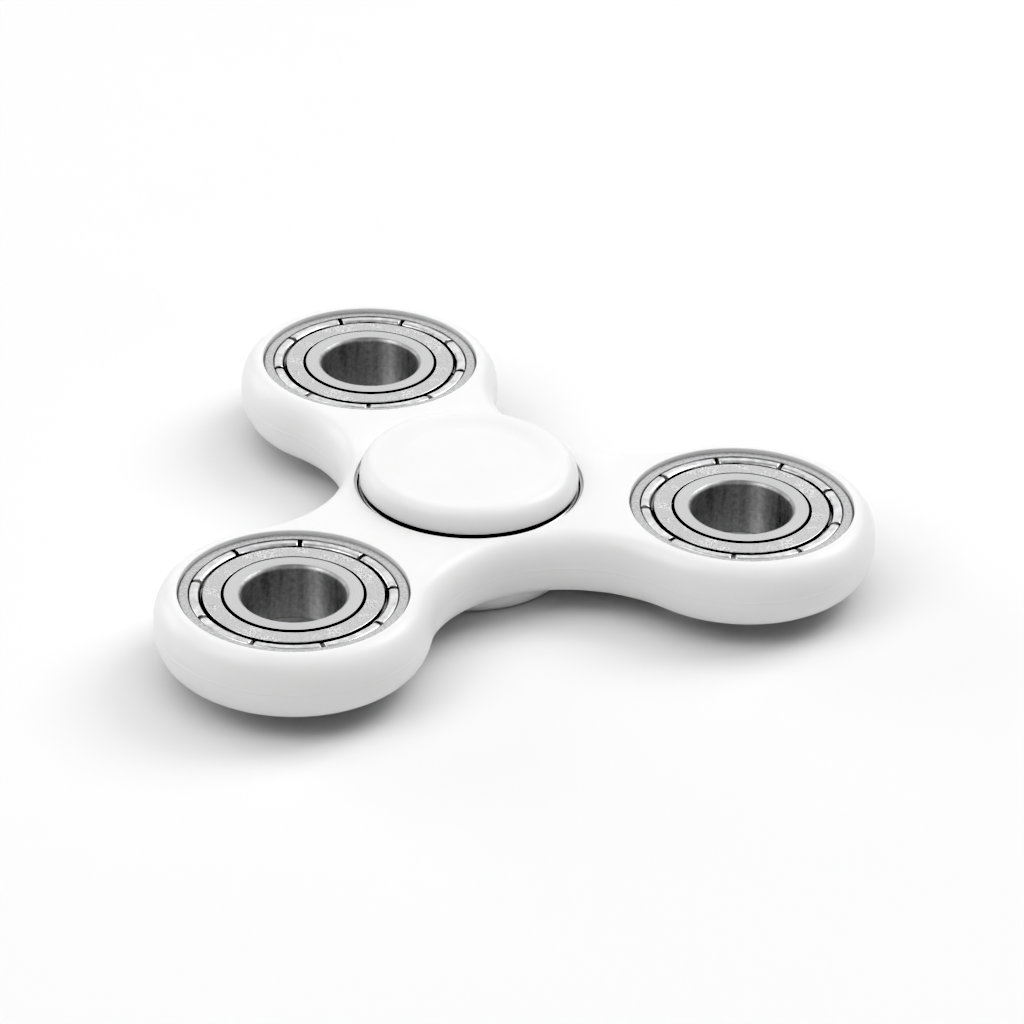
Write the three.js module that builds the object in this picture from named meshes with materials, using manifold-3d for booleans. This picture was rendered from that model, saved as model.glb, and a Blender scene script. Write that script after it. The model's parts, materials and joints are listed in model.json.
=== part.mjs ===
// A three-lobed fidget spinner. A moulded body turns on a shielded ball bearing that is held between
// two finger caps, and three more of the same bearings are pressed into its lobes as weights.
// Millimetres, +Z up along the spin axis. The origin is on that axis, half way up.
// The first lobe points along +Y.

import * as THREE from "three";
import { mergeVertices } from "three/addons/utils/BufferGeometryUtils.js";
import Module from "manifold-3d";

// ---- Driving dimensions ----

const LOBES = 3;
const LOBE_DISTANCE = 27; // spin axis to lobe centre
const LOBE_RADIUS = 13.3;
const WAIST_DISTANCE = 13; // spin axis to the nearest point of the outline
const BODY_HEIGHT = 6.8;
const EDGE_ACROSS = 2.1; // the rounded edge, measured across the flat face
const EDGE_DOWN = 3.2; // and down the side

const BORE = 10; // the bearings are the 10 x 22 x 6 size
const OUTSIDE = 22;
const WIDTH = 6;
const BALL = 3.175;
const BALLS = 9;
const BALL_CIRCLE = (BORE + OUTSIDE) / 4; // radius of the circle of ball centres
const OUTER_CHAMFER = 0.2;
const BORE_CHAMFER = 0.42;
const RACE_RADIUS = 1.72; // of the groove's section, a little more than the ball's
const OUTER_LAND = 9; // radius of the outer ring's shoulder
const INNER_LAND = 6.75; // radius of the inner ring's shoulder and of its face
const SHIELD_SEAT = 9.95; // radius of the step that holds the shield
const SHIELD_SEAT_DEPTH = 0.9;
const SHIELD_INSIDE = 6.87;
const SHIELD_PLATE = 0.3;
const SHIELD_INSET = 0.08; // below the rings' faces
const SHIELD_RIM = 0.9; // width of the folded rim

const CAGE_THICKNESS = 1.05;
const CAGE_BASE = 2.35; // below the ball centres
const CAGE_TOP = 0.9; // above them, so that the pockets close round the balls
const POCKET_CLEARANCE = 0.14;
const POCKET_DEPTH = 2 * CAGE_THICKNESS; // a cutter long enough to pass right through

const CAP_RADIUS = 10.8;
const CAP_RISE = 2.4; // above the body's face
const CAP_RIM_WALL = 0.8; // the upright part of the rim, from the level of the body's face
const CAP_EDGE = 1.3; // the rounded edge, measured across
const CAP_LAND = 0.9; // the flat crest round the dish
const DISH_DEPTH = 0.4;
const DISH_SLOPE = 1.9; // the dish's sloping edge, measured across
const CAP_SHOULDER = 6.3; // bears on the inner ring's face
const PIN_RADIUS = 2.6; // the upper cap's pin, pressed into the lower cap's socket
const PIN_LENGTH = 3;
const PIN_CHAMFER = 0.25;

const FIT = 0.03; // left between pieces that touch
const COUNTERBORE_RADIUS = 11.27; // round each cap

const RING_SIDES = 28;
const CAGE_SIDES = 2 * BALLS;
const POCKET_SIDES = 10;
const LOBE_STEPS = 18;
const WAIST_STEPS = 7;
const EDGE_STEPS = 3;
const RACE_STEPS = 4;
const MERGE_WITHIN = 1e-4; // vertices nearer than this are one

// ---- Materials ----

function paint(color, roughness, metalness) {
  return new THREE.MeshStandardMaterial({ color, roughness, metalness });
}

const whitePlastic = paint(0xf2f2f0, 0.3, 0);
const ringSteel = paint(0xb9babb, 0.32, 1);
const shieldSteel = paint(0xc4c5c6, 0.28, 1);
const ballSteel = paint(0xd8d9da, 0.08, 1);
const nylon = paint(0xe6dfcd, 0.5, 0);

// ---- Solids ----

const wasm = await Module();
wasm.setup();

function toSolid(geometry) {
  const bare = geometry.index ? geometry.toNonIndexed() : geometry.clone();
  bare.deleteAttribute("normal");
  bare.deleteAttribute("uv");
  const merged = mergeVertices(bare, MERGE_WITHIN);
  const vertProperties = merged.attributes.position.array;
  const triVerts = new Uint32Array(merged.index.array);
  return new wasm.Manifold(new wasm.Mesh({ numProp: 3, vertProperties, triVerts }));
}

function toGeometry(solid) {
  const mesh = solid.getMesh();
  return new THREE.BufferGeometry()
    .setAttribute("position", new THREE.BufferAttribute(mesh.vertProperties, 3))
    .setIndex(new THREE.BufferAttribute(mesh.triVerts, 1));
}

// A turned piece about +Z. Its profile is a list of [radius, height],
// anticlockwise when the radius runs to the right.
function turned(profile, sides = RING_SIDES) {
  const points = profile.map(([radius, height]) => new THREE.Vector2(radius, height));
  return new THREE.LatheGeometry(points, sides).rotateX(Math.PI / 2);
}

function turnedRing(profile, sides) {
  return turned([...profile, profile[0]], sides);
}

function mirrored(points) {
  return points.map(([radius, height]) => [radius, -height]).reverse();
}

function part(name, geometry, material) {
  const mesh = new THREE.Mesh(geometry, material);
  mesh.name = name;
  return mesh;
}

function polar(distance, angle) {
  return new THREE.Vector2(distance * Math.cos(angle), distance * Math.sin(angle));
}

// ---- Bearing ----

function ballAngle(i) {
  return Math.PI / 2 + (i * 2 * Math.PI) / BALLS;
}

// The groove's section from its upper edge to its lower one.
// side is 1 for the outer ring and -1 for the inner ring.
function race(land, side) {
  const edge = Math.acos((side * (land - BALL_CIRCLE)) / RACE_RADIUS);
  return Array.from({ length: RACE_STEPS + 1 }, (_, i) => {
    const angle = edge * (1 - (2 * i) / RACE_STEPS);
    return [BALL_CIRCLE + side * RACE_RADIUS * Math.cos(angle), RACE_RADIUS * Math.sin(angle)];
  });
}

function outerRing() {
  const face = WIDTH / 2;
  const seat = face - SHIELD_SEAT_DEPTH;
  const upper = [
    [OUTSIDE / 2, face - OUTER_CHAMFER],
    [OUTSIDE / 2 - OUTER_CHAMFER, face],
    [SHIELD_SEAT, face],
    [SHIELD_SEAT, seat],
    [OUTER_LAND, seat],
  ];
  return turnedRing([...upper, ...race(OUTER_LAND, 1), ...mirrored(upper)]);
}

function innerRing() {
  const face = WIDTH / 2;
  const upper = [
    [INNER_LAND, face],
    [BORE / 2 + BORE_CHAMFER, face],
    [BORE / 2, face - BORE_CHAMFER],
  ];
  return turnedRing([...upper, ...mirrored(upper), ...race(INNER_LAND, -1).reverse()]);
}

function shield() {
  const top = WIDTH / 2 - SHIELD_INSET;
  const under = top - SHIELD_PLATE;
  const foot = WIDTH / 2 - SHIELD_SEAT_DEPTH + FIT;
  const rim = SHIELD_SEAT - FIT;
  return turnedRing([
    [SHIELD_INSIDE, under],
    [rim - SHIELD_RIM, under],
    [rim - SHIELD_RIM, foot],
    [rim, foot],
    [rim, top],
    [SHIELD_INSIDE, top],
  ]);
}

// A snap-in cage: a ring with one open pocket for each ball.
function cage() {
  const inside = BALL_CIRCLE - CAGE_THICKNESS / 2;
  const outside = BALL_CIRCLE + CAGE_THICKNESS / 2;
  const ring = turnedRing(
    [
      [inside, -CAGE_BASE],
      [outside, -CAGE_BASE],
      [outside, CAGE_TOP],
      [inside, CAGE_TOP],
    ],
    CAGE_SIDES,
  );
  const radius = (BALL / 2 + POCKET_CLEARANCE) / Math.cos(Math.PI / POCKET_SIDES);
  const pocket = new THREE.CylinderGeometry(radius, radius, POCKET_DEPTH, POCKET_SIDES);
  pocket.rotateZ(Math.PI / 2).translate(BALL_CIRCLE, 0, 0);
  let solid = toSolid(ring);
  for (let i = 0; i < BALLS; i++) {
    const cutter = pocket.clone().rotateZ(ballAngle(i));
    solid = solid.subtract(toSolid(cutter));
  }
  return toGeometry(solid);
}

// One shielded bearing, centred on the group's origin, with its balls and cage.
function bearing(name) {
  const group = new THREE.Group();
  const shieldUp = shield();
  const shieldDown = shieldUp.clone().rotateX(Math.PI);
  group.add(
    part(`${name}_outer_ring`, outerRing(), ringSteel),
    part(`${name}_inner_ring`, innerRing(), ringSteel),
    part(`${name}_upper_shield`, shieldUp, shieldSteel),
    part(`${name}_lower_shield`, shieldDown, shieldSteel),
    part(`${name}_cage`, cage(), nylon),
  );
  for (let i = 0; i < BALLS; i++) {
    const ball = part(`${name}_ball_${i + 1}`, new THREE.IcosahedronGeometry(BALL / 2, 1), ballSteel);
    const centre = polar(BALL_CIRCLE, ballAngle(i));
    ball.position.set(centre.x, centre.y, 0);
    group.add(ball);
  }
  return group;
}

// ---- Body ----

function lobeAngle(i) {
  return Math.PI / 2 + (i * 2 * Math.PI) / LOBES;
}

function lobeCentre(i) {
  return polar(LOBE_DISTANCE, lobeAngle(i));
}

// The last point is left to the arc that follows.
function arc(centre, radius, from, to, steps) {
  const turn = (to - from) / steps;
  return Array.from({ length: steps }, (_, i) => polar(radius, from + turn * i).add(centre));
}

// The outline: round lobes, joined by hollow waists whose arcs touch both lobes.
function bodyOutline() {
  const half = Math.PI / LOBES;
  const narrowing = LOBE_RADIUS - WAIST_DISTANCE;
  const hollowDistance =
    (LOBE_DISTANCE ** 2 - narrowing ** 2) / (2 * (LOBE_DISTANCE * Math.cos(half) + narrowing));
  const hollowRadius = hollowDistance - WAIST_DISTANCE;
  // How far each arc runs either side of its own middle.
  const towardsHollow = polar(hollowDistance, half).sub(polar(LOBE_DISTANCE, 0));
  const lobeSweep = towardsHollow.angle();
  const hollowSweep = lobeSweep - half;
  const points = [];
  for (let i = 0; i < LOBES; i++) {
    const axis = lobeAngle(i);
    const hollowAxis = axis + half;
    const inward = hollowAxis + Math.PI;
    const lobe = lobeCentre(i);
    const hollow = polar(hollowDistance, hollowAxis);
    points.push(...arc(lobe, LOBE_RADIUS, axis - lobeSweep, axis + lobeSweep, LOBE_STEPS));
    points.push(...arc(hollow, hollowRadius, inward + hollowSweep, inward - hollowSweep, WAIST_STEPS));
  }
  return new THREE.Shape(points);
}

function body() {
  const blank = new THREE.ExtrudeGeometry(bodyOutline(), {
    depth: BODY_HEIGHT - 2 * EDGE_DOWN,
    bevelThickness: EDGE_DOWN,
    bevelSize: EDGE_ACROSS,
    bevelOffset: -EDGE_ACROSS,
    bevelSegments: EDGE_STEPS,
  }).translate(0, 0, EDGE_DOWN - BODY_HEIGHT / 2);
  let solid = toSolid(blank);
  for (let i = 0; i < LOBES; i++) {
    const seat = turned([
      [0, -BODY_HEIGHT],
      [OUTSIDE / 2 + FIT, -BODY_HEIGHT],
      [OUTSIDE / 2 + FIT, BODY_HEIGHT],
      [0, BODY_HEIGHT],
    ]);
    seat.translate(lobeCentre(i).x, lobeCentre(i).y, 0);
    solid = solid.subtract(toSolid(seat));
  }
  const upper = [
    [OUTSIDE / 2 + FIT, WIDTH / 2],
    [COUNTERBORE_RADIUS, WIDTH / 2],
    [COUNTERBORE_RADIUS, BODY_HEIGHT],
  ];
  const hubSeat = turned([[0, -BODY_HEIGHT], ...mirrored(upper), ...upper, [0, BODY_HEIGHT]]);
  return toGeometry(solid.subtract(toSolid(hubSeat)));
}

// ---- Caps ----

// The outside of a cap, from its shoulder on the inner ring's face up to the middle of its dish.
function capProfile() {
  const rim = BODY_HEIGHT / 2;
  const crest = BODY_HEIGHT / 2 + CAP_RISE;
  const edgeBase = rim + CAP_RIM_WALL;
  const edge = Array.from({ length: EDGE_STEPS + 1 }, (_, i) => {
    const angle = (i * Math.PI) / 2 / EDGE_STEPS;
    const radius = CAP_RADIUS - CAP_EDGE * (1 - Math.cos(angle));
    return [radius, edgeBase + (crest - edgeBase) * Math.sin(angle)];
  });
  const landInside = CAP_RADIUS - CAP_EDGE - CAP_LAND;
  return [
    [BORE / 2 - FIT, WIDTH / 2 + FIT],
    [CAP_SHOULDER, WIDTH / 2 + FIT],
    [CAP_SHOULDER, rim],
    [CAP_RADIUS, rim],
    ...edge,
    [landInside, crest],
    [landInside - DISH_SLOPE, crest - DISH_DEPTH],
    [0, crest - DISH_DEPTH],
  ];
}

function upperCap() {
  const tip = -PIN_LENGTH;
  return turned([
    [0, tip],
    [PIN_RADIUS - PIN_CHAMFER, tip],
    [PIN_RADIUS, tip + PIN_CHAMFER],
    [PIN_RADIUS, FIT],
    [BORE / 2 - FIT, FIT],
    ...capProfile(),
  ]);
}

function lowerCap() {
  const socketFloor = -PIN_LENGTH - PIN_CHAMFER;
  return turned([
    ...mirrored(capProfile()),
    [BORE / 2 - FIT, -FIT],
    [PIN_RADIUS + FIT, -FIT],
    [PIN_RADIUS + FIT, socketFloor],
    [0, socketFloor],
  ]);
}

// ---- Assembly ----

const spinner = new THREE.Group();
spinner.add(
  part("spinner_body", body(), whitePlastic),
  part("upper_cap", upperCap(), whitePlastic),
  part("lower_cap", lowerCap(), whitePlastic),
  bearing("hub"),
);
for (let i = 0; i < LOBES; i++) {
  const weight = bearing(`weight_${i + 1}`);
  weight.position.set(lobeCentre(i).x, lobeCentre(i).y, 0);
  spinner.add(weight);
}

export default spinner;
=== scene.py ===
"""A fidget spinner: smooth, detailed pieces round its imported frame, on a pale floor in soft studio light."""

import json
import math

import bmesh
import bpy
from mathutils import Matrix, Vector

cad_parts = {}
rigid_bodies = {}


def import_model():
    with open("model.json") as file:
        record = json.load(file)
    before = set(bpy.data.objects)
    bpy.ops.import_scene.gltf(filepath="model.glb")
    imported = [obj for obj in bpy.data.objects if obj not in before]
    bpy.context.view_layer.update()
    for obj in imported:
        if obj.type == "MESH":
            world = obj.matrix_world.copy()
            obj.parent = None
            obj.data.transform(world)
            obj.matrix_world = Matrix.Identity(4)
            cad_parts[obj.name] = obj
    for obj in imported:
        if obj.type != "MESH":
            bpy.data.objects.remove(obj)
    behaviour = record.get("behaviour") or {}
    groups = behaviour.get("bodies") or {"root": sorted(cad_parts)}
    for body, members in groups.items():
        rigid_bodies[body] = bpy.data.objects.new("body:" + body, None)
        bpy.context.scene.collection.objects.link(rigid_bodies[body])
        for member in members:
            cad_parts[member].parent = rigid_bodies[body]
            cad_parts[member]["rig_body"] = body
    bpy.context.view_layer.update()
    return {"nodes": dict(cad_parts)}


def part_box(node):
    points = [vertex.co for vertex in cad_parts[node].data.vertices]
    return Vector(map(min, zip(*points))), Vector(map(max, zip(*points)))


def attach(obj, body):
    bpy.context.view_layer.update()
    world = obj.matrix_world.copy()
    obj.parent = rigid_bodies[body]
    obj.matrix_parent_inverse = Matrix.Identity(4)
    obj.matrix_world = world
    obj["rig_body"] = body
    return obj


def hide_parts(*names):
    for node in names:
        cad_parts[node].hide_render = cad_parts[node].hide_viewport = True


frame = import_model()

MM = 0.001
BEARINGS = ("hub", "weight_1", "weight_2", "weight_3")
BALLS = 9
LOBES = 3

# ---- Sizes, in metres: those of whole pieces come from the frame ----

BODY_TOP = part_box("spinner_body")[1].z
RING_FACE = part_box("hub_outer_ring")[1].z
RING_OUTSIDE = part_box("hub_outer_ring")[1].x
INNER_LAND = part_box("hub_inner_ring")[1].x
SHIELD_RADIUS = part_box("hub_upper_shield")[1].x
SHIELD_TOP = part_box("hub_upper_shield")[1].z
CAP_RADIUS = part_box("upper_cap")[1].x
CAP_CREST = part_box("upper_cap")[1].z
PIN_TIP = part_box("upper_cap")[0].z
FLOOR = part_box("lower_cap")[0].z


def middle(node):
    low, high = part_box(node)
    return (low + high) / 2


CENTRES = {name: middle(name + "_outer_ring") for name in BEARINGS}
LOBE_DISTANCE = CENTRES["weight_1"].y
LOBE_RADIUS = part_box("spinner_body")[1].y - LOBE_DISTANCE
WAIST_DISTANCE = 13 * MM
EDGE_ACROSS = 2.1 * MM
EDGE_DOWN = 3.2 * MM
FIT = 0.03 * MM
COUNTERBORE = 11.27 * MM
SEAT_ROUND = 0.12 * MM
PARTING_HEIGHT = 0.025 * MM
PARTING_WIDTH = 0.07 * MM

BORE = 5 * MM
BALL_CIRCLE = 8 * MM
BALL_RADIUS = 3.175 / 2 * MM
RACE_RADIUS = 1.72 * MM
OUTER_LAND = 9 * MM
OUTER_CHAMFER = 0.2 * MM
BORE_EDGE = 0.42 * MM
SHIELD_SEAT_DEPTH = 0.9 * MM
SHIELD_INSIDE = 6.87 * MM
SHIELD_PLATE = 0.26 * MM
GROOVE_INSIDE = SHIELD_RADIUS - 1.29 * MM
GROOVE_WIDTH = 0.31 * MM
GROOVE_DEPTH = 0.45 * MM
BEAD_INSIDE = GROOVE_INSIDE + GROOVE_WIDTH
BEAD_RISE = 0.32 * MM
BEAD_SHOULDER = 4
NOTCH_WIDTH = 0.4 * MM
NOTCH_DEPTH = 0.6 * MM
NOTCH_HALF = NOTCH_WIDTH / SHIELD_RADIUS / 2
NOTCH_SLOPE = 0.12
# Where each bearing's first notch is, in degrees.
NOTCH_PHASES = {"hub": 10, "weight_1": 8, "weight_2": -14, "weight_3": 0}
SEAT_EDGE = 0.09 * MM
LAND_EDGE = 0.16 * MM

CAP_RIM_WALL = 0.5 * MM
CAP_EDGE = 1.45 * MM
DISH_DEPTH = 0.4 * MM
DISH_FLOOR = 6.7 * MM
CAP_SHOULDER = 6.3 * MM
CAP_RIM_ROUND = 0.16 * MM
PIN_RADIUS = 2.6 * MM
PIN_CHAMFER = 0.25 * MM

CAGE_INSIDE = 7.475 * MM
CAGE_OUTSIDE = 8.525 * MM
CAGE_BASE = 2.35 * MM
CAGE_TOP = 0.9 * MM
POCKET_RADIUS = 1.72 * MM

ROUND_STEPS = 144
LOBE_STEPS = 72
WAIST_STEPS = 32
EDGE_STEPS = 12
SLIVER = 0.001 * MM

# ---- Base colours: each is a pair, and noise goes from the one to the other ----

WHITE_PLASTIC = (0.75, 0.75, 0.748), (0.775, 0.775, 0.775)
INNER_RING = (0.55, 0.55, 0.555), (0.63, 0.63, 0.635)
# The outer ring is painted darker than the inner ring, as painted shade, with grime mottling it.
OUTER_RING_AND_SHADE = (0.41, 0.41, 0.413), (0.62, 0.62, 0.625)
# The bore: painted shade darkens the deep hole, and real stains mottle it.
SHADED_STAINED_BORE = (0.31, 0.31, 0.312), (0.46, 0.46, 0.46)
# A painted reflection: the lighter colour for one side of each bore.
BORE_PAINTED_REFLECTION = (0.5, 0.5, 0.502), (0.72, 0.72, 0.72)
PLAIN_PLATE = (0.5, 0.5, 0.505), (0.63, 0.63, 0.635)
SCUFFED_PLATE = (0.4, 0.4, 0.4), (0.85, 0.85, 0.85)
# The bead: a painted highlight makes it brighter than the plate, and rolled tracks vary it.
ROLLED_BEAD_AND_HIGHLIGHT = (0.56, 0.56, 0.565), (0.84, 0.84, 0.845)
# Balls painted dark, as painted shade inside the bearing.
OILED_BALL_AND_SHADE = (0.3, 0.3, 0.3), (0.42, 0.42, 0.42)
NATURAL_NYLON = (0.78, 0.72, 0.58), (0.84, 0.79, 0.67)
# Painted shade for the grooves, gaps and notches, coloured like greasy dirt: fresh and dried.
GREASE_AND_PAINTED_SHADE = (0.028, 0.027, 0.026), (0.2, 0.195, 0.185)
PALE_FLOOR = (0.795, 0.795, 0.795), (0.805, 0.805, 0.805)

# The side of each bore painted lighter, as a painted reflection of the lit floor below, and how far round that
# fades.
BORE_REFLECTION_SIDE = math.radians(43)
BORE_REFLECTION_WIDTH = math.radians(17)

# ---- Camera and light: metres, watts, and degrees for the lights ----

CAMERA_LENS = 155.5
CAMERA_ELEVATION = math.radians(30.25)
CAMERA_AZIMUTH = math.radians(-23.61)
CAMERA_ROLL = math.radians(1.7)
CAMERA_DISTANCE = 436 * MM
CAMERA_ASIDE = 4.25 * MM
CAMERA_RAISED = -3.17 * MM
SENSOR_WIDTH = 36
CLIP_START = 10 * MM
CLIP_END = 20

FLOOR_HALF = 1.5
WORLD_STRENGTH = 0.36
BLACK_LEVEL = 0.065
OVERHEAD = 89.9
CARD_ELEVATION = 31
CARD_SIZE = 1.1

# Name, angle round from the camera to the right, elevation, size and power.
FILLS = (
    ("overhead softbox", 0, OVERHEAD, 1.2, 5.6),
    ("low fill", 60, 6.3, 0.2, 0.45),
)
SOFTBOXES = (
    ("right softbox", 120, 45, 0.55, 4.1),
    ("left softbox", 300, 45, 0.55, 2.55),
    ("low softbox", 240, 18, 0.55, 2.0),
)
# Name, angle round from the camera to the right, elevation and radiance.
CARDS = (
    ("overhead card", 0, OVERHEAD, 0.75),
    ("back card", 180, CARD_ELEVATION, 0.74),
    ("right card", 90, CARD_ELEVATION, 0.5),
    ("left card", 270, CARD_ELEVATION, 0.5),
    ("front card", 0, CARD_ELEVATION, 0.4),
)

# ---- Outlines ----


def polar(radius, angle):
    return Vector((radius * math.cos(angle), radius * math.sin(angle)))


def arc(centre, radius, start, end, steps):
    """Points along an arc, both ends included."""
    return [centre + polar(radius, start + (end - start) * i / steps) for i in range(steps + 1)]


def rounded(corners, steps=5):
    """A closed outline from corners (x, y, radius), with each corner of some radius made an arc."""
    out = []
    count = len(corners)
    for i, (x, y, radius) in enumerate(corners):
        here = Vector((x, y))
        if radius == 0:
            out.append(here)
            continue
        before = (Vector(corners[i - 1][:2]) - here).normalized()
        after = (Vector(corners[(i + 1) % count][:2]) - here).normalized()
        half = before.angle(after) / 2
        along = radius / math.tan(half)
        centre = here + (before + after).normalized() * (radius / math.sin(half))
        first = here + before * along - centre
        last = here + after * along - centre
        turn = math.atan2(first.cross(last), first.dot(last))
        start = math.atan2(first.y, first.x)
        out += arc(centre, radius, start, start + turn, steps)
    return out


def mirrored(points):
    """The same outline below the middle, in the order that keeps it going the same way round."""
    return [(p[0], -p[1], *p[2:]) for p in reversed(points)]


# ---- Meshes ----


def finished(name, mesh_builder, centre=(0, 0, 0)):
    """An object from a bmesh in its own frame, placed at centre, smooth with its flats kept flat."""
    bmesh.ops.remove_doubles(mesh_builder, verts=mesh_builder.verts, dist=1e-8)
    bmesh.ops.recalc_face_normals(mesh_builder, faces=mesh_builder.faces)
    mesh = bpy.data.meshes.new(name)
    mesh_builder.to_mesh(mesh)
    mesh_builder.free()
    mesh.polygons.foreach_set("use_smooth", [True] * len(mesh.polygons))
    return placed(name, mesh, centre)


def placed(name, mesh, centre):
    piece = bpy.data.objects.new(name, mesh)
    bpy.context.scene.collection.objects.link(piece)
    piece.location = centre
    weighted = piece.modifiers.new("flat faces stay flat", "WEIGHTED_NORMAL")
    weighted.weight = 100
    weighted.keep_sharp = True
    return piece


def bridge(builder, lower, upper):
    """Quads between two closed rings of as many vertices."""
    count = len(lower)
    for i in range(count):
        j = (i + 1) % count
        builder.faces.new((lower[i], lower[j], upper[j], upper[i]))


def turned(name, outline, centre=(0, 0, 0), angles=None, reshape=None):
    """A piece turned about Z from an outline of (radius, height). reshape may move a point by its angle."""
    builder = bmesh.new()
    angles = angles or [2 * math.pi * i / ROUND_STEPS for i in range(ROUND_STEPS)]
    rings = []
    for index, point in enumerate(outline):
        if point[0] < 1e-9:
            rings.append([builder.verts.new((0, 0, point[1]))])
            continue
        ring = []
        for angle in angles:
            radius, height = reshape(index, angle, point) if reshape else point
            ring.append(builder.verts.new((*polar(radius, angle), height)))
        rings.append(ring)
    for i, ring in enumerate(rings):
        following = rings[(i + 1) % len(rings)]
        if len(ring) == 1 and len(following) == 1:
            continue
        if len(ring) == 1 or len(following) == 1:
            fan(builder, ring, following)
        else:
            bridge(builder, ring, following)
    return finished(name, builder, centre)


def fan(builder, one, other):
    tip, rim = (one[0], other) if len(one) == 1 else (other[0], one)
    for i in range(len(rim)):
        builder.faces.new((tip, rim[i], rim[(i + 1) % len(rim)]))


def cut_away(blank, cutters, sharp_degrees):
    """The blank's mesh less the cutters, with its edges sharp past an angle. Removes all those objects."""
    blank.modifiers.clear()
    for cutter in cutters:
        cutter.modifiers.clear()
        cut = blank.modifiers.new(cutter.name, "BOOLEAN")
        cut.object = cutter
        cut.solver = "EXACT"
    bpy.context.view_layer.update()
    mesh = bpy.data.meshes.new_from_object(blank.evaluated_get(bpy.context.evaluated_depsgraph_get()))
    remove_slivers(mesh)
    mesh.set_sharp_from_angle(angle=math.radians(sharp_degrees))
    for used in [blank, *cutters]:
        bpy.data.objects.remove(used)
    return mesh


def remove_slivers(mesh):
    """Joins points that a cut left too close together, and splits its many-sided faces into triangles."""
    builder = bmesh.new()
    builder.from_mesh(mesh)
    bmesh.ops.remove_doubles(builder, verts=builder.verts, dist=SLIVER)
    bmesh.ops.triangulate(builder, faces=[face for face in builder.faces if len(face.verts) > 4])
    bmesh.ops.dissolve_degenerate(builder, dist=SLIVER, edges=builder.edges)
    builder.to_mesh(mesh)
    builder.free()


# ---- Body ----


def body_outline(inset):
    """The three-lobed outline, moved in by inset: arcs round the lobes, and hollow arcs between them."""
    half = math.pi / LOBES
    narrowing = LOBE_RADIUS - WAIST_DISTANCE
    hollow_distance = (LOBE_DISTANCE**2 - narrowing**2) / (2 * (LOBE_DISTANCE * math.cos(half) + narrowing))
    hollow_radius = hollow_distance - WAIST_DISTANCE
    towards = polar(hollow_distance, half) - Vector((LOBE_DISTANCE, 0))
    lobe_sweep = math.atan2(towards.y, towards.x)
    hollow_sweep = lobe_sweep - half
    points = []
    for i in range(LOBES):
        axis = math.pi / 2 + 2 * half * i
        inward = axis + half + math.pi
        lobe = polar(LOBE_DISTANCE, axis)
        hollow = polar(hollow_distance, axis + half)
        points += arc(lobe, LOBE_RADIUS - inset, axis - lobe_sweep, axis + lobe_sweep, LOBE_STEPS)[:-1]
        points += arc(
            hollow, hollow_radius + inset, inward + hollow_sweep, inward - hollow_sweep, WAIST_STEPS
        )[:-1]
    return points


def body_side():
    """(inset, height) up the moulded side, with the faint ridge where the mould's halves met."""
    rise = BODY_TOP - EDGE_DOWN
    edge = []
    for i in range(EDGE_STEPS + 1):
        angle = math.pi / 2 * i / EDGE_STEPS
        edge.append((EDGE_ACROSS * (1 - math.cos(angle)), rise + EDGE_DOWN * math.sin(angle)))
    upper = [(PARTING_HEIGHT, PARTING_WIDTH)]
    upper += [(max(inset, PARTING_HEIGHT), height) for inset, height in edge]
    return mirrored(upper) + [(0, 0)] + upper


def body_blank():
    """The body before its holes are cut."""
    builder = bmesh.new()
    rings = []
    for inset, height in body_side():
        rings.append([builder.verts.new((*p, height)) for p in body_outline(inset)])
    for lower, upper in zip(rings, rings[1:]):
        bridge(builder, lower, upper)
    builder.faces.new(rings[0][::-1])
    builder.faces.new(rings[-1])
    return finished("body_blank", builder)


def hole_cutter(name, centre, wall):
    """A turned cutter with a given wall, whose mouths flare out to leave a slightly rounded edge."""
    mouth = wall[-1][0]
    flare = arc(Vector((mouth + SEAT_ROUND, BODY_TOP - SEAT_ROUND)), SEAT_ROUND, math.pi, math.pi / 2, 4)
    beyond = BODY_TOP + 1 * MM
    upper = [Vector(p) for p in wall] + flare
    upper += [Vector((mouth + SEAT_ROUND, beyond)), Vector((0, beyond))]
    return turned(name, [Vector(p) for p in mirrored(upper)] + upper, centre)


def make_body():
    seat = RING_OUTSIDE + FIT
    cutters = []
    for name in BEARINGS:
        wall = [(seat, RING_FACE), (COUNTERBORE, RING_FACE)] if name == "hub" else [(seat, RING_FACE)]
        cutters.append(hole_cutter(name + "_seat", CENTRES[name], wall))
    return placed("moulded_body", cut_away(body_blank(), cutters, 30), (0, 0, 0))


# ---- Caps ----


def cap_outside():
    """(radius, height) from the shoulder on the inner ring up to the middle of the dish."""
    rim = BODY_TOP
    points = rounded(
        [
            (BORE - FIT, RING_FACE + FIT, 0),
            (CAP_SHOULDER, RING_FACE + FIT, 0),
            (CAP_SHOULDER, rim, 0),
            (CAP_RADIUS, rim, CAP_RIM_ROUND),
            (CAP_RADIUS, rim + 2 * CAP_RIM_ROUND, 0),
        ]
    )
    base = rim + CAP_RIM_WALL
    for i in range(EDGE_STEPS + 1):
        angle = math.pi / 2 * i / EDGE_STEPS
        radius = CAP_RADIUS - CAP_EDGE * (1 - math.cos(angle))
        points.append(Vector((radius, base + (CAP_CREST - base) * math.sin(angle))))
    crest = CAP_RADIUS - CAP_EDGE
    for i in range(1, EDGE_STEPS + 1):
        share = i / EDGE_STEPS
        drop = DISH_DEPTH * (1 - math.cos(math.pi * share)) / 2
        points.append(Vector((crest + (DISH_FLOOR - crest) * share, CAP_CREST - drop)))
    return points + [Vector((0, CAP_CREST - DISH_DEPTH))]


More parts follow.
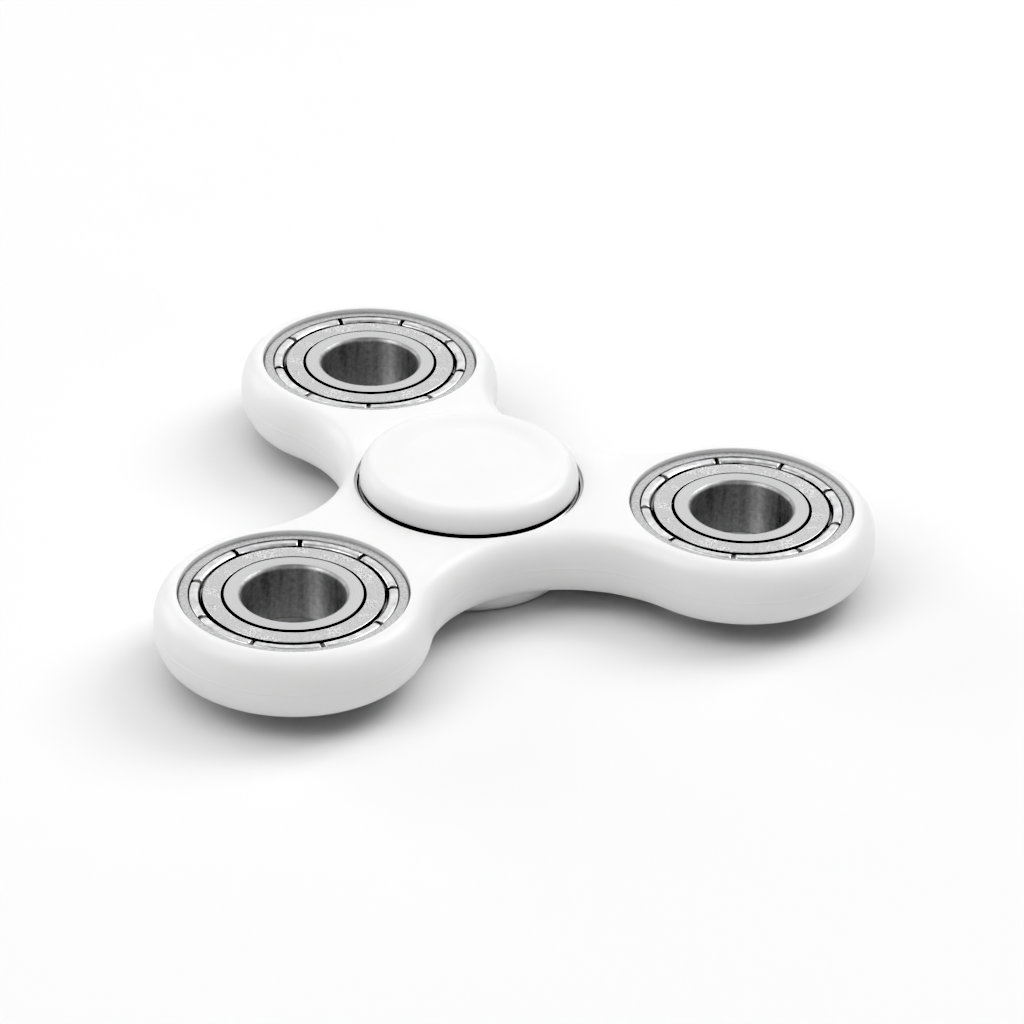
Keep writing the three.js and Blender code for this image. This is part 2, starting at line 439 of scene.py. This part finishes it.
def make_upper_cap():
    pin = [
        Vector((0, PIN_TIP)),
        Vector((PIN_RADIUS - PIN_CHAMFER, PIN_TIP)),
        Vector((PIN_RADIUS, PIN_TIP + PIN_CHAMFER)),
        Vector((PIN_RADIUS, FIT)),
        Vector((BORE - FIT, FIT)),
    ]
    return turned("upper_finger_cap", pin + cap_outside())


def make_lower_cap():
    socket_floor = PIN_TIP - PIN_CHAMFER
    socket = [
        Vector((BORE - FIT, -FIT)),
        Vector((PIN_RADIUS + FIT, -FIT)),
        Vector((PIN_RADIUS + FIT, socket_floor)),
        Vector((0, socket_floor)),
    ]
    return turned("lower_finger_cap", [Vector(p) for p in mirrored(cap_outside())] + socket)


# ---- Bearings ----


def race(land, side, steps=10):
    """The groove's section, from its upper edge to its lower one."""
    edge = math.acos(side * (land - BALL_CIRCLE) / RACE_RADIUS)
    points = []
    for i in range(steps + 1):
        angle = edge * (1 - 2 * i / steps)
        points.append(
            Vector((BALL_CIRCLE + side * RACE_RADIUS * math.cos(angle), RACE_RADIUS * math.sin(angle)))
        )
    return points


def outer_ring(name, centre):
    seat = RING_FACE - SHIELD_SEAT_DEPTH
    upper = rounded(
        [
            (RING_OUTSIDE, 0, 0),
            (RING_OUTSIDE, RING_FACE - OUTER_CHAMFER, 0.06 * MM),
            (RING_OUTSIDE - OUTER_CHAMFER, RING_FACE, 0.06 * MM),
            (SHIELD_RADIUS + FIT, RING_FACE, SEAT_EDGE),
            (SHIELD_RADIUS + FIT, seat, 0.05 * MM),
            (OUTER_LAND, seat, 0.05 * MM),
            (OUTER_LAND, 0, 0),
        ]
    )[1:-1]
    outline = upper + race(OUTER_LAND, 1) + [Vector(p) for p in mirrored(upper)]
    return turned(name + "_bearing_outer_ring", outline, centre)


def inner_ring(name, centre):
    upper = rounded(
        [
            (INNER_LAND, 0, 0),
            (INNER_LAND, RING_FACE, LAND_EDGE),
            (BORE, RING_FACE, BORE_EDGE),
            (BORE, 0, 0),
        ],
        steps=8,
    )[1:-1]
    outline = upper + [Vector(p) for p in mirrored(upper)] + race(INNER_LAND, -1)[::-1]
    return turned(name + "_bearing_inner_ring", outline, centre)


def shield_outline():
    """A pressed plate, a narrow groove round it, and a rounded bead that is crimped into the seat."""
    under = SHIELD_TOP - SHIELD_PLATE
    floor = SHIELD_TOP - GROOVE_DEPTH
    foot = RING_FACE - SHIELD_SEAT_DEPTH + FIT
    plate = rounded(
        [
            (GROOVE_INSIDE, floor, 0),
            (GROOVE_INSIDE, SHIELD_TOP, 0.09 * MM),
            (SHIELD_INSIDE, SHIELD_TOP, 0.06 * MM),
            (SHIELD_INSIDE, under, 0.05 * MM),
            (GROOVE_INSIDE - SHIELD_PLATE, under, 0.1 * MM),
            (GROOVE_INSIDE, foot, 0),
            (SHIELD_RADIUS, foot, 0),
        ]
    )
    return plate + bead_outline() + [Vector((BEAD_INSIDE, floor))]


def bead_outline():
    """From the seat inwards: a square shoulder, then a round flank down to the groove."""
    half = (SHIELD_RADIUS - BEAD_INSIDE) / 2
    points = []
    for i in range(2 * EDGE_STEPS + 1):
        angle = math.pi * i / (2 * EDGE_STEPS)
        across, up = math.cos(angle), math.sin(angle)
        power = 2 / BEAD_SHOULDER if across > 0 else 1
        reach = math.copysign(abs(across) ** power, across)
        points.append(Vector((BEAD_INSIDE + half * (1 + reach), RING_FACE - BEAD_RISE * (1 - up**power))))
    return points


def notch_offset(angle, phase):
    """How far an angle is from the middle of the nearest notch."""
    pitch = 2 * math.pi / BALLS
    return abs((angle - phase + pitch / 2) % pitch - pitch / 2)


def shield_angles(phase):
    """Even steps, with closer ones at each notch's two sides."""
    side = NOTCH_HALF * NOTCH_SLOPE
    near = []
    for k in range(BALLS):
        middle_angle = phase + 2 * math.pi * k / BALLS
        near += [middle_angle + s * (NOTCH_HALF + t) for s in (-1, 1) for t in (-side, side)]
    even = [2 * math.pi * i / ROUND_STEPS + phase for i in range(ROUND_STEPS)]
    even = [a for a in even if notch_offset(a, phase) > 1.5 * NOTCH_HALF]
    return sorted(a % (2 * math.pi) for a in near + even)


def shield(name, centre, upper, phase):
    """The crimped bead is cut through by narrow notches, evenly spaced from an angle of phase."""
    floor = SHIELD_TOP - NOTCH_DEPTH

    def notched(_, angle, point):
        radius, height = point
        if notch_offset(angle, phase) < NOTCH_HALF and radius > BEAD_INSIDE - FIT and height > floor:
            height = floor
        return radius, height if upper else -height

    side = "upper" if upper else "lower"
    piece = turned(f"{name}_bearing_{side}_shield", shield_outline(), centre, shield_angles(phase), notched)
    piece.data.materials.append(MATERIALS["shield_steel"])
    piece.data.materials.append(PACKED_GREASE_AND_SHADE)
    # Notch faces take the second material: painted shade, coloured like packed greasy dirt.
    for face in piece.data.polygons:
        x, y, _ = face.center
        if math.hypot(x, y) > BEAD_INSIDE and notch_offset(math.atan2(y, x), phase) < NOTCH_HALF * 1.05:
            face.material_index = 1
    return piece


def make_cage_mesh():
    """A ring with a round pocket for each ball."""
    corners = [
        (CAGE_INSIDE, -CAGE_BASE, 0.15 * MM),
        (CAGE_OUTSIDE, -CAGE_BASE, 0.15 * MM),
        (CAGE_OUTSIDE, CAGE_TOP, 0.15 * MM),
        (CAGE_INSIDE, CAGE_TOP, 0.15 * MM),
    ]
    blank = turned("cage_blank", rounded(corners))
    builder = bmesh.new()
    for k in range(BALLS):
        at = Matrix.Translation((*polar(BALL_CIRCLE, ball_angle(k)), 0))
        bmesh.ops.create_uvsphere(builder, u_segments=32, v_segments=20, radius=POCKET_RADIUS, matrix=at)
    return cut_away(blank, [finished("pockets", builder)], 35)


def ball_angle(k):
    return math.pi / 2 + 2 * math.pi * k / BALLS


def make_ball_mesh():
    builder = bmesh.new()
    bmesh.ops.create_icosphere(builder, subdivisions=4, radius=BALL_RADIUS)
    mesh = bpy.data.meshes.new("ball")
    builder.to_mesh(mesh)
    builder.free()
    mesh.polygons.foreach_set("use_smooth", [True] * len(mesh.polygons))
    return mesh


# ---- Materials ----


def new_material(name):
    material = bpy.data.materials.new(name)
    material.use_nodes = True
    return material, material.node_tree, material.node_tree.nodes["Principled BSDF"]


def add(tree, kind, inputs=(), **settings):
    node = tree.nodes.new(kind)
    for key, value in settings.items():
        setattr(node, key, value)
    for key, value in dict(inputs).items():
        if isinstance(value, bpy.types.NodeSocket):
            tree.links.new(value, node.inputs[key])
        else:
            node.inputs[key].default_value = value
    return node


def place_of(tree):
    return add(tree, "ShaderNodeTexCoord").outputs["Object"]


def noise(tree, where, size, detail=3.0, roughness=0.5):
    """Noise whose lumps are about size metres across."""
    found = add(
        tree,
        "ShaderNodeTexNoise",
        {"Vector": where, "Scale": 1 / size, "Detail": detail, "Roughness": roughness},
    )
    return found.outputs["Fac"]


def remap(tree, value, low, high, start=0.3, end=0.7):
    """start to end becomes low to high."""
    found = add(
        tree,
        "ShaderNodeMapRange",
        {"Value": value, "From Min": start, "From Max": end, "To Min": low, "To Max": high},
    )
    return found.outputs["Result"]


def mix_colours(tree, share, first, second):
    found = add(tree, "ShaderNodeMix", {"Factor": share}, data_type="RGBA")
    found.inputs[6].default_value = (*first, 1)
    found.inputs[7].default_value = (*second, 1)
    return found.outputs[2]


def bump(tree, height, strength, distance, normal=None):
    inputs = {"Height": height, "Strength": strength, "Distance": distance}
    if normal is not None:
        inputs["Normal"] = normal
    return add(tree, "ShaderNodeBump", inputs).outputs["Normal"]


def stretched(tree, where, factors):
    """A place with each coordinate multiplied."""
    return add(tree, "ShaderNodeVectorMath", {0: where, 1: factors}, operation="MULTIPLY").outputs["Vector"]


def radius_of(tree, where):
    """Distance from the piece's own Z axis."""
    flat = stretched(tree, where, (1, 1, 0))
    return add(tree, "ShaderNodeVectorMath", {0: flat}, operation="LENGTH").outputs["Value"]


def height_of(tree, where):
    return add(tree, "ShaderNodeSeparateXYZ", {0: where}).outputs["Z"]


def ring_lines(tree, where, size):
    """Concentric turning lines, about size metres apart."""
    radius = radius_of(tree, where)
    inputs = {"X": radius, "Y": 0.0, "Z": height_of(tree, where)}
    across = add(tree, "ShaderNodeCombineXYZ", inputs).outputs["Vector"]
    return noise(tree, across, size, detail=4.0, roughness=0.65)


def white_plastic():
    material, tree, surface = new_material("white moulded plastic")
    where = place_of(tree)
    cloud = noise(tree, where, 9 * MM)
    colour = mix_colours(tree, remap(tree, cloud, 0, 1), *WHITE_PLASTIC)
    tree.links.new(colour, surface.inputs["Base Color"])
    smudge = noise(tree, where, 4 * MM, detail=5.0)
    tree.links.new(remap(tree, smudge, 0.3, 0.38), surface.inputs["Roughness"])
    peel = bump(tree, noise(tree, where, 0.6 * MM), 0.12, 0.01 * MM)
    grain = bump(tree, noise(tree, where, 0.07 * MM), 0.1, 0.002 * MM, peel)
    tree.links.new(grain, surface.inputs["Normal"])
    surface.inputs["IOR"].default_value = 1.5
    surface.inputs["Subsurface Weight"].default_value = 0.15
    surface.inputs["Subsurface Radius"].default_value = (1, 0.95, 0.9)
    surface.inputs["Subsurface Scale"].default_value = 0.6 * MM
    return material


def times(tree, first, second):
    return add(tree, "ShaderNodeMath", {0: first, 1: second}, operation="MULTIPLY").outputs[0]


def band(tree, value, low, high, soft, strength=1):
    """Of full strength from low to high, and 0 past a soft margin on either side."""
    rise = remap(tree, value, 0, strength, low - soft, low)
    fall = remap(tree, value, 1, 0, high, high + soft)
    return times(tree, rise, fall)


def greatest(tree, *values):
    found = values[0]
    for value in values[1:]:
        found = add(tree, "ShaderNodeMath", {0: found, 1: value}, operation="MAXIMUM").outputs[0]
    return found


def blend_colours(tree, share, first, second):
    """As mix_colours, but between two sockets."""
    found = add(tree, "ShaderNodeMix", {"Factor": share}, data_type="RGBA")
    tree.links.new(first, found.inputs[6])
    tree.links.new(second, found.inputs[7])
    return found.outputs[2]


def greased_and_shaded_metal(tree, surface, steel, grease_and_shade):
    """Metal of a given colour, painted dark where the share is 1: painted shade, coloured like greasy dirt."""
    dark = add(tree, "ShaderNodeRGB")
    dark.outputs[0].default_value = (*GREASE_AND_PAINTED_SHADE[0], 1)
    tree.links.new(blend_colours(tree, grease_and_shade, steel, dark.outputs[0]), surface.inputs["Base Color"])
    surface.inputs["Metallic"].default_value = 1


def turned_finish(tree, surface, amount):
    """Fine marks that run round the axis, so that highlights spread across them."""
    tangent = add(tree, "ShaderNodeTangent", direction_type="RADIAL", axis="Z")
    tree.links.new(tangent.outputs["Tangent"], surface.inputs["Tangent"])
    surface.inputs["Anisotropic"].default_value = amount
    surface.inputs["Anisotropic Rotation"].default_value = 0.25


def facing(tree, where, angle, width):
    """1 at an angle round the Z axis, falling to 0 a width away on either side."""
    flat = stretched(tree, where, (1, 1, 0))
    unit = add(tree, "ShaderNodeVectorMath", {0: flat}, operation="NORMALIZE").outputs["Vector"]
    towards = (math.cos(angle), math.sin(angle), 0)
    near = add(tree, "ShaderNodeVectorMath", {0: unit, 1: towards}, operation="DOT_PRODUCT").outputs["Value"]
    return remap(tree, near, 0, 1, math.cos(width), 1)


def patchy_grease_and_shade(tree, where):
    """How much of the painted shade is kept: nearly all of it in some places, and half in others."""
    return remap(tree, noise(tree, where, 3.5 * MM, detail=2.0), 0.5, 1, 0.4, 0.6)


# Painted shade for the notch faces, coloured like packed greasy dirt.
def packed_grease_and_shade():
    material, tree, surface = new_material("packed grease")
    dust = noise(tree, place_of(tree), 1.5 * MM, detail=4.0)
    colour = mix_colours(tree, remap(tree, dust, 0, 1, 0.4, 0.6), *GREASE_AND_PAINTED_SHADE)
    tree.links.new(colour, surface.inputs["Base Color"])
    surface.inputs["Roughness"].default_value = 0.5
    surface.inputs["Specular IOR Level"].default_value = 0.25
    return material


def ring_steel():
    material, tree, surface = new_material("ground bearing steel")
    where = place_of(tree)
    radius = radius_of(tree, where)
    lines = ring_lines(tree, where, 0.12 * MM)
    # The next noise mottles the outer ring, which is painted darker as painted shade.
    grime_and_shade = noise(tree, where, 0.3 * MM, detail=6.0, roughness=0.7)
    pits = noise(tree, where, 0.45 * MM, detail=6.0, roughness=0.7)
    streaks = noise(tree, stretched(tree, where, (1, 1, 0.08)), 1.1 * MM, detail=3.0, roughness=0.6)
    stains = add(tree, "ShaderNodeMix", {"Factor": 0.5, "A": pits, "B": streaks}).outputs["Result"]
    in_bore = remap(tree, radius, 1, 0, BORE + 0.18 * MM, BORE + 0.38 * MM)
    inner = mix_colours(tree, remap(tree, lines, 0, 1), *INNER_RING)
    outer = mix_colours(tree, remap(tree, grime_and_shade, 0, 1, 0.35, 0.6), *OUTER_RING_AND_SHADE)
    bright = blend_colours(tree, remap(tree, radius, 0, 1, INNER_LAND, OUTER_LAND), inner, outer)
    # The bore is painted darker as painted shade, with real stains mottling it.
    shaded_stained = mix_colours(tree, remap(tree, stains, 0, 1, 0.4, 0.6), *SHADED_STAINED_BORE)
    painted_reflection = mix_colours(tree, remap(tree, stains, 0, 1, 0.4, 0.6), *BORE_PAINTED_REFLECTION)
    # Painted reflection: one side of each bore is lighter.
    shaded_stained = blend_colours(tree, facing(tree, where, BORE_REFLECTION_SIDE, BORE_REFLECTION_WIDTH), shaded_stained, painted_reflection)
    steel = blend_colours(tree, in_bore, bright, shaded_stained)
    # Painted shade, coloured like greasy dirt, in the gaps: at the inner ring's land, in the seam at the
    # shield's seat, and at the ring's outside against the body.
    seat = SHIELD_RADIUS + FIT
    seam = band(tree, radius, seat - FIT, seat + 0.8 * SEAT_EDGE, 0.02 * MM, 0.7)
    grease_and_shade = greatest(
        tree,
        band(tree, radius, INNER_LAND - 0.9 * LAND_EDGE, INNER_LAND + FIT, 0.02 * MM),
        times(tree, patchy_grease_and_shade(tree, where), seam),
        band(tree, radius, RING_OUTSIDE - 0.08 * MM, RING_OUTSIDE + FIT, 0.03 * MM, 0.35),
    )
    greased_and_shaded_metal(tree, surface, steel, grease_and_shade)
    face_roughness = remap(tree, lines, 0.22, 0.34)
    rough = add(tree, "ShaderNodeMix", {"Factor": in_bore, "A": face_roughness, "B": 0.5})
    tree.links.new(rough.outputs["Result"], surface.inputs["Roughness"])
    turned_finish(tree, surface, 0.45)
    turned_lines = bump(tree, lines, 0.25, 0.004 * MM)
    tree.links.new(bump(tree, stains, 0.12, 0.004 * MM, turned_lines), surface.inputs["Normal"])
    return material


def shield_steel():
    material, tree, surface = new_material("pressed shield steel")
    where = place_of(tree)
    speckle = noise(tree, where, 0.16 * MM, detail=5.0, roughness=0.7)
    rub = noise(tree, where, 2.2 * MM, detail=4.0)
    worn = remap(tree, rub, 0, 1, 0.46, 0.58)
    plain = mix_colours(tree, remap(tree, speckle, 0, 1, 0.4, 0.6), *PLAIN_PLATE)
    scuffed = mix_colours(tree, remap(tree, speckle, 0, 1, 0.42, 0.58), *SCUFFED_PLATE)
    steel = blend_colours(tree, worn, plain, scuffed)
    radius = radius_of(tree, where)
    # The bead gets a painted highlight: brighter than the plate, with rolled tracks varying it.
    tracks = noise(tree, where, 0.8 * MM, detail=4.0)
    rolled_and_highlighted = mix_colours(tree, remap(tree, tracks, 0, 1), *ROLLED_BEAD_AND_HIGHLIGHT)
    steel = blend_colours(tree, remap(tree, radius, 0, 1, BEAD_INSIDE, BEAD_INSIDE + FIT), steel, rolled_and_highlighted)
    # Painted shade, coloured like greasy dirt, in the groove below the plate, with a ragged edge from noise,
    # and at the plate's inner edge beside the inner ring.
    depth = add(tree, "ShaderNodeMath", {0: height_of(tree, where)}, operation="ABSOLUTE").outputs[0]
    ragged_shade_edge = remap(tree, noise(tree, where, 0.5 * MM, detail=4.0), -0.04 * MM, 0.02 * MM)
    level = add(tree, "ShaderNodeMath", {0: depth, 1: ragged_shade_edge}, operation="ADD").outputs[0]
    sunk = remap(tree, level, 1, 0, SHIELD_TOP - 0.12 * MM, SHIELD_TOP - 0.05 * MM)
    grease_and_shade = greatest(
        tree,
        times(tree, patchy_grease_and_shade(tree, where), sunk),
        remap(tree, radius, 1, 0, SHIELD_INSIDE + 0.01 * MM, SHIELD_INSIDE + 0.03 * MM),
    )
    greased_and_shaded_metal(tree, surface, steel, grease_and_shade)
    tree.links.new(remap(tree, rub, 0.24, 0.4), surface.inputs["Roughness"])
    tree.links.new(bump(tree, speckle, 0.3, 0.005 * MM), surface.inputs["Normal"])
    return material


def ball_steel():
    material, tree, surface = new_material("shaded oiled ball steel")
    where = place_of(tree)
    haze = noise(tree, where, 0.5 * MM, detail=4.0)
    # The dark colour is painted shade, for balls that sit in shade inside the bearing.
    colour = mix_colours(tree, haze, *OILED_BALL_AND_SHADE)
    tree.links.new(colour, surface.inputs["Base Color"])
    surface.inputs["Metallic"].default_value = 1
    tree.links.new(remap(tree, haze, 0.16, 0.28), surface.inputs["Roughness"])
    tree.links.new(bump(tree, haze, 0.05, 0.001 * MM), surface.inputs["Normal"])
    return material


def cage_nylon():
    material, tree, surface = new_material("natural nylon")
    where = place_of(tree)
    cloud = noise(tree, where, 1.5 * MM)
    colour = mix_colours(tree, cloud, *NATURAL_NYLON)
    tree.links.new(colour, surface.inputs["Base Color"])
    tree.links.new(remap(tree, cloud, 0.42, 0.55), surface.inputs["Roughness"])
    tree.links.new(bump(tree, noise(tree, where, 0.1 * MM), 0.2, 0.004 * MM), surface.inputs["Normal"])
    surface.inputs["Subsurface Weight"].default_value = 0.3
    surface.inputs["Subsurface Scale"].default_value = 0.5 * MM
    return material


def pale_floor():
    material, tree, surface = new_material("pale floor")
    where = place_of(tree)
    colour = mix_colours(tree, noise(tree, where, 40 * MM), *PALE_FLOOR)
    tree.links.new(colour, surface.inputs["Base Color"])
    surface.inputs["Roughness"].default_value = 0.9
    surface.inputs["Specular IOR Level"].default_value = 0.1
    return material


# ---- Assembly ----

MATERIALS = {
    "white_plastic": white_plastic(),
    "ring_steel": ring_steel(),
    "shield_steel": shield_steel(),
    "ball_steel": ball_steel(),
    "cage_nylon": cage_nylon(),
}
PACKED_GREASE_AND_SHADE = packed_grease_and_shade()


def install(piece, node, slot):
    """Gives a piece its material and lets it stand for a CAD node, on that node's body."""
    if not piece.data.materials:
        piece.data.materials.append(MATERIALS[slot])
    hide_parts(node)
    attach(piece, frame["nodes"][node]["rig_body"])


def make_bearing(name, cage_mesh, ball_mesh):
    centre = CENTRES[name]
    phase = math.radians(NOTCH_PHASES[name])
    install(outer_ring(name, centre), name + "_outer_ring", "ring_steel")
    install(inner_ring(name, centre), name + "_inner_ring", "ring_steel")
    install(shield(name, centre, True, phase), name + "_upper_shield", "shield_steel")
    install(shield(name, centre, False, phase), name + "_lower_shield", "shield_steel")
    install(placed(name + "_bearing_cage", cage_mesh, centre), name + "_cage", "cage_nylon")
    for k in range(BALLS):
        at = centre + Vector((*polar(BALL_CIRCLE, ball_angle(k)), 0))
        ball = placed(f"{name}_bearing_ball_{k + 1}", ball_mesh, at)
        install(ball, f"{name}_ball_{k + 1}", "ball_steel")


install(make_body(), "spinner_body", "white_plastic")
install(make_upper_cap(), "upper_cap", "white_plastic")
install(make_lower_cap(), "lower_cap", "white_plastic")
shared_cage = make_cage_mesh()
shared_ball = make_ball_mesh()
for bearing_name in BEARINGS:
    make_bearing(bearing_name, shared_cage, shared_ball)

# ---- Camera ----

def make_camera():
    """Aimed at the middle of the body's upper face, then slid sideways and down."""
    flat = math.cos(CAMERA_ELEVATION)
    back = Vector(
        (math.sin(CAMERA_AZIMUTH) * flat, -math.cos(CAMERA_AZIMUTH) * flat, math.sin(CAMERA_ELEVATION))
    )
    level = Vector((math.cos(CAMERA_AZIMUTH), math.sin(CAMERA_AZIMUTH), 0))
    upright = back.cross(level)
    right = level * math.cos(CAMERA_ROLL) + upright * math.sin(CAMERA_ROLL)
    up = upright * math.cos(CAMERA_ROLL) - level * math.sin(CAMERA_ROLL)
    place = Vector((0, 0, BODY_TOP)) + back * CAMERA_DISTANCE + right * CAMERA_ASIDE + up * CAMERA_RAISED
    data = bpy.data.cameras.new("camera")
    data.lens = CAMERA_LENS
    data.sensor_width = SENSOR_WIDTH
    data.clip_start = CLIP_START
    data.clip_end = CLIP_END
    camera = bpy.data.objects.new("camera", data)
    bpy.context.scene.collection.objects.link(camera)
    camera.matrix_world = Matrix.Translation(place) @ Matrix((right, up, back)).transposed().to_4x4()
    bpy.context.scene.camera = camera


make_camera()

# ---- Floor and light ----

def make_floor():
    builder = bmesh.new()
    bmesh.ops.create_grid(builder, x_segments=1, y_segments=1, size=FLOOR_HALF)
    mesh = bpy.data.meshes.new("floor")
    builder.to_mesh(mesh)
    builder.free()
    mesh.materials.append(pale_floor())
    floor = bpy.data.objects.new("floor", mesh)
    bpy.context.scene.collection.objects.link(floor)
    floor.location.z = FLOOR


def make_light(name, aside, elevation, size, power):
    """A square area light 1 m from the object. aside is its angle round from the camera, to the right."""
    a, e = CAMERA_AZIMUTH + math.radians(aside), math.radians(elevation)
    towards = Vector((math.sin(a) * math.cos(e), -math.cos(a) * math.cos(e), math.sin(e)))
    data = bpy.data.lights.new(name, "AREA")
    data.size = size
    data.energy = power
    box = bpy.data.objects.new(name, data)
    bpy.context.scene.collection.objects.link(box)
    box.location = towards
    box.rotation_mode = "QUATERNION"
    box.rotation_quaternion = towards.to_track_quat("Z", "Y")
    box.visible_camera = False
    return box


def make_fill(name, aside, elevation, size, power):
    """A light that reflections don't see."""
    make_light(name, aside, elevation, size, power).visible_glossy = False


def make_card(name, aside, elevation, brightness):
    """A large white card, which only reflections see. brightness is its radiance."""
    power = math.pi * CARD_SIZE**2 * brightness
    card = make_light(name, aside, elevation, CARD_SIZE, power)
    card.visible_diffuse = False


def make_world(strength):
    world = bpy.data.worlds.new("studio")
    world.use_nodes = True
    background = world.node_tree.nodes["Background"]
    background.inputs["Color"].default_value = (1, 1, 1, 1)
    background.inputs["Strength"].default_value = strength
    bpy.context.scene.world = world


def set_tones(black):
    """Plain display tones, with the darkest ones taken down to black."""
    view = bpy.context.scene.view_settings
    view.view_transform = "Standard"
    view.use_curve_mapping = True
    view.curve_mapping.black_level = (black, black, black)
    view.curve_mapping.update()


make_floor()
make_world(WORLD_STRENGTH)
for fill in FILLS:
    make_fill(*fill)
for softbox in SOFTBOXES:
    make_light(*softbox)
for card in CARDS:
    make_card(*card)
set_tones(BLACK_LEVEL)
